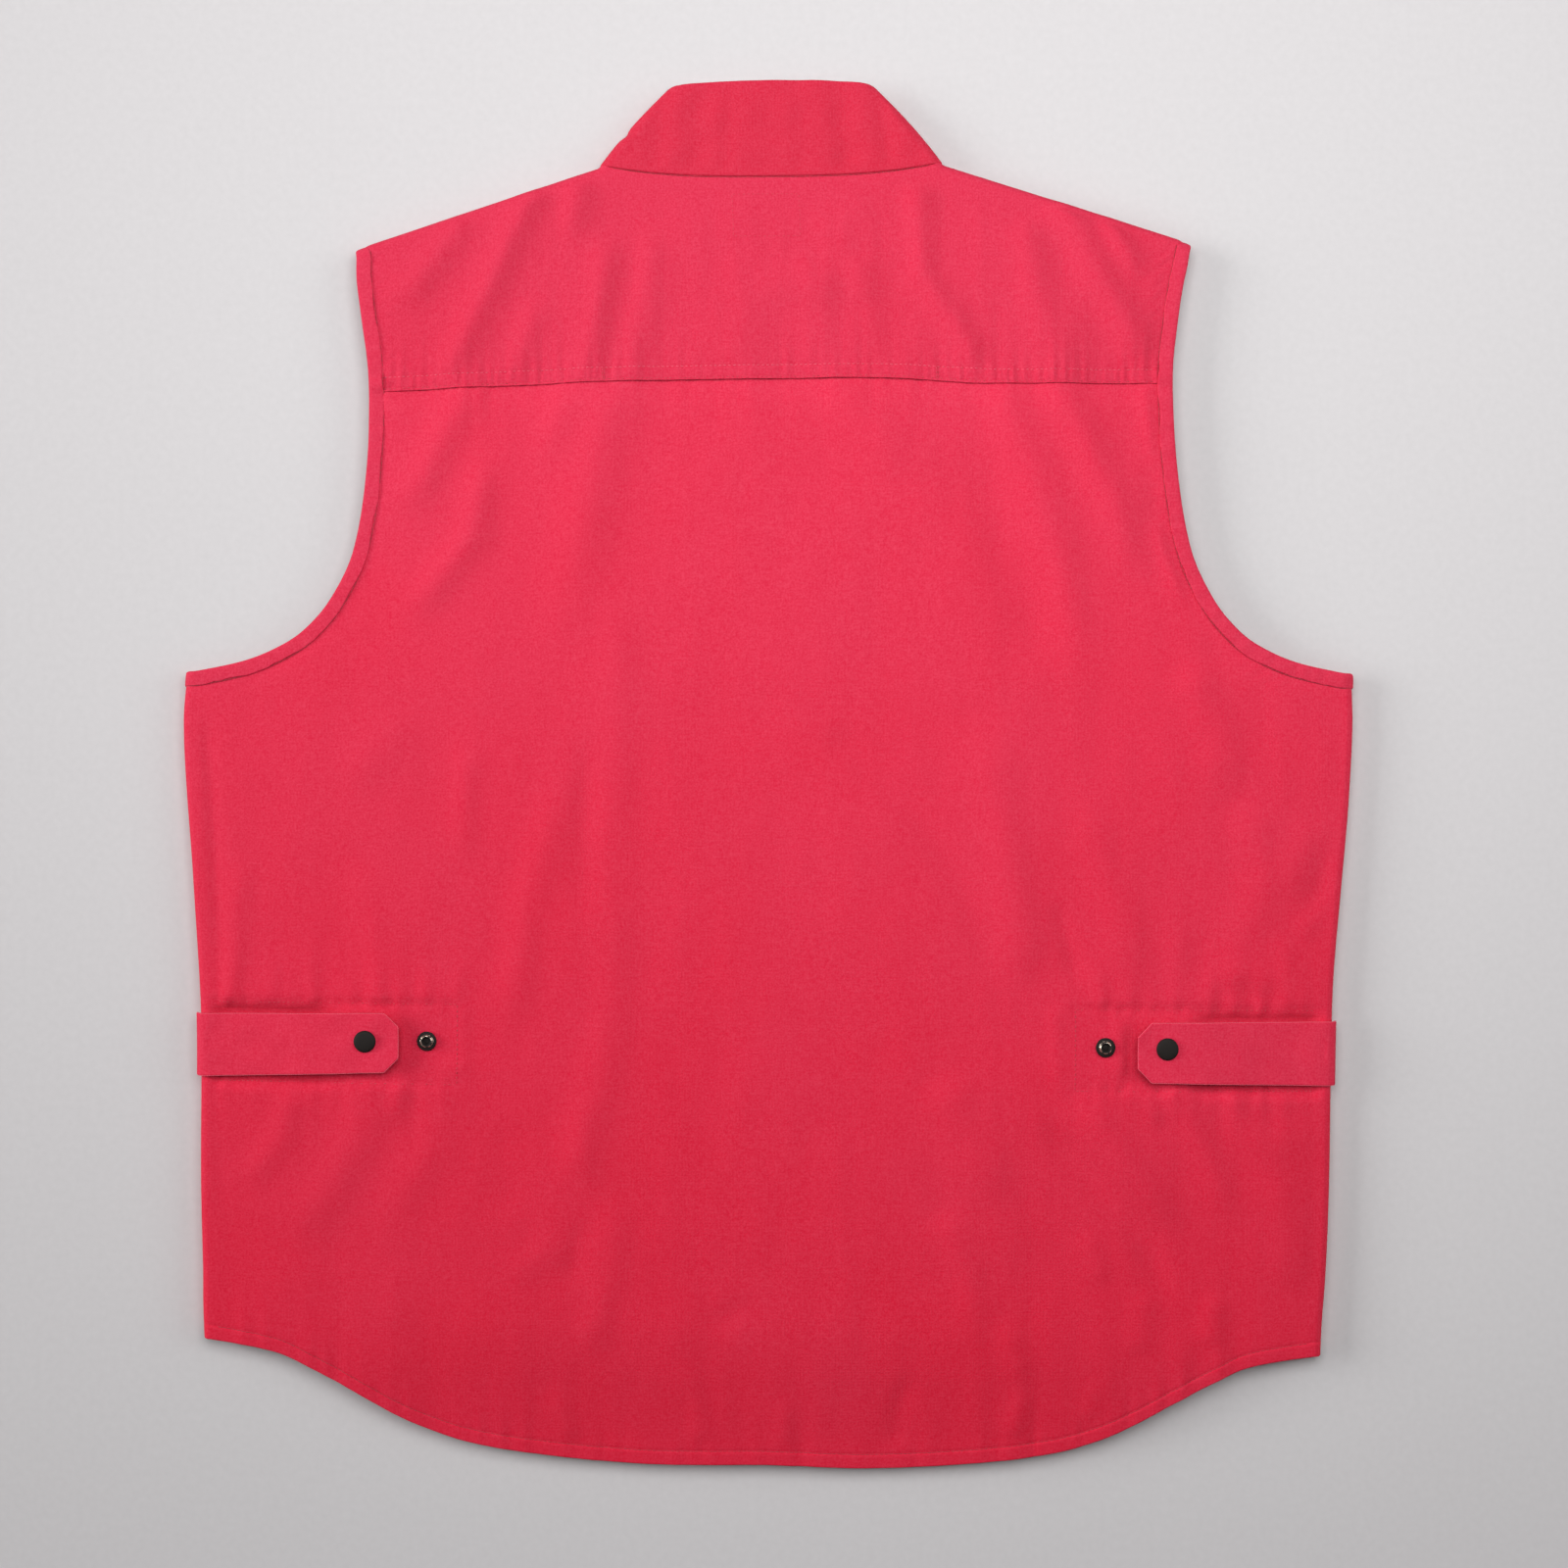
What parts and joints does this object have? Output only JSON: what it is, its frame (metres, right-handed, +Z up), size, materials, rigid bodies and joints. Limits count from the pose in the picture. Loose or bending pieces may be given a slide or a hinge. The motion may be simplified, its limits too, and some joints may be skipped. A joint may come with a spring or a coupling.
{
  "type": "sailing vest",
  "caption": "Sleeveless red cotton work vest lying flat on its front, with a stand collar, lapped back yoke, bound armholes, curved hem and snapped waist tabs.",
  "frame": {"origin": "on the floor under the middle of the vest's box", "axes": "+X to the wearer's right, +Y along the vest towards the collar, +Z up out of the back"},
  "size_m": [0.6634, 0.786, 0.0234],
  "materials": {
    "red_cotton": "matte plain weave",
    "snap_metal": "worn dark enamel over brass"
  },
  "bodies": {
    "root": {"back_body": "red_cotton", "back_yoke": "red_cotton", "front_left": "red_cotton", "front_right": "red_cotton", "front_closure": "red_cotton", "collar": "red_cotton", "armhole_binding_left": "red_cotton", "armhole_binding_right": "red_cotton", "side_tab_left": "red_cotton", "side_tab_right": "red_cotton", "tab_snap_left": "snap_metal", "tab_snap_right": "snap_metal", "closed_stud_left": "snap_metal", "closed_stud_right": "snap_metal", "spare_stud_left": "snap_metal", "spare_stud_right": "snap_metal"}
  },
  "joints": []
}
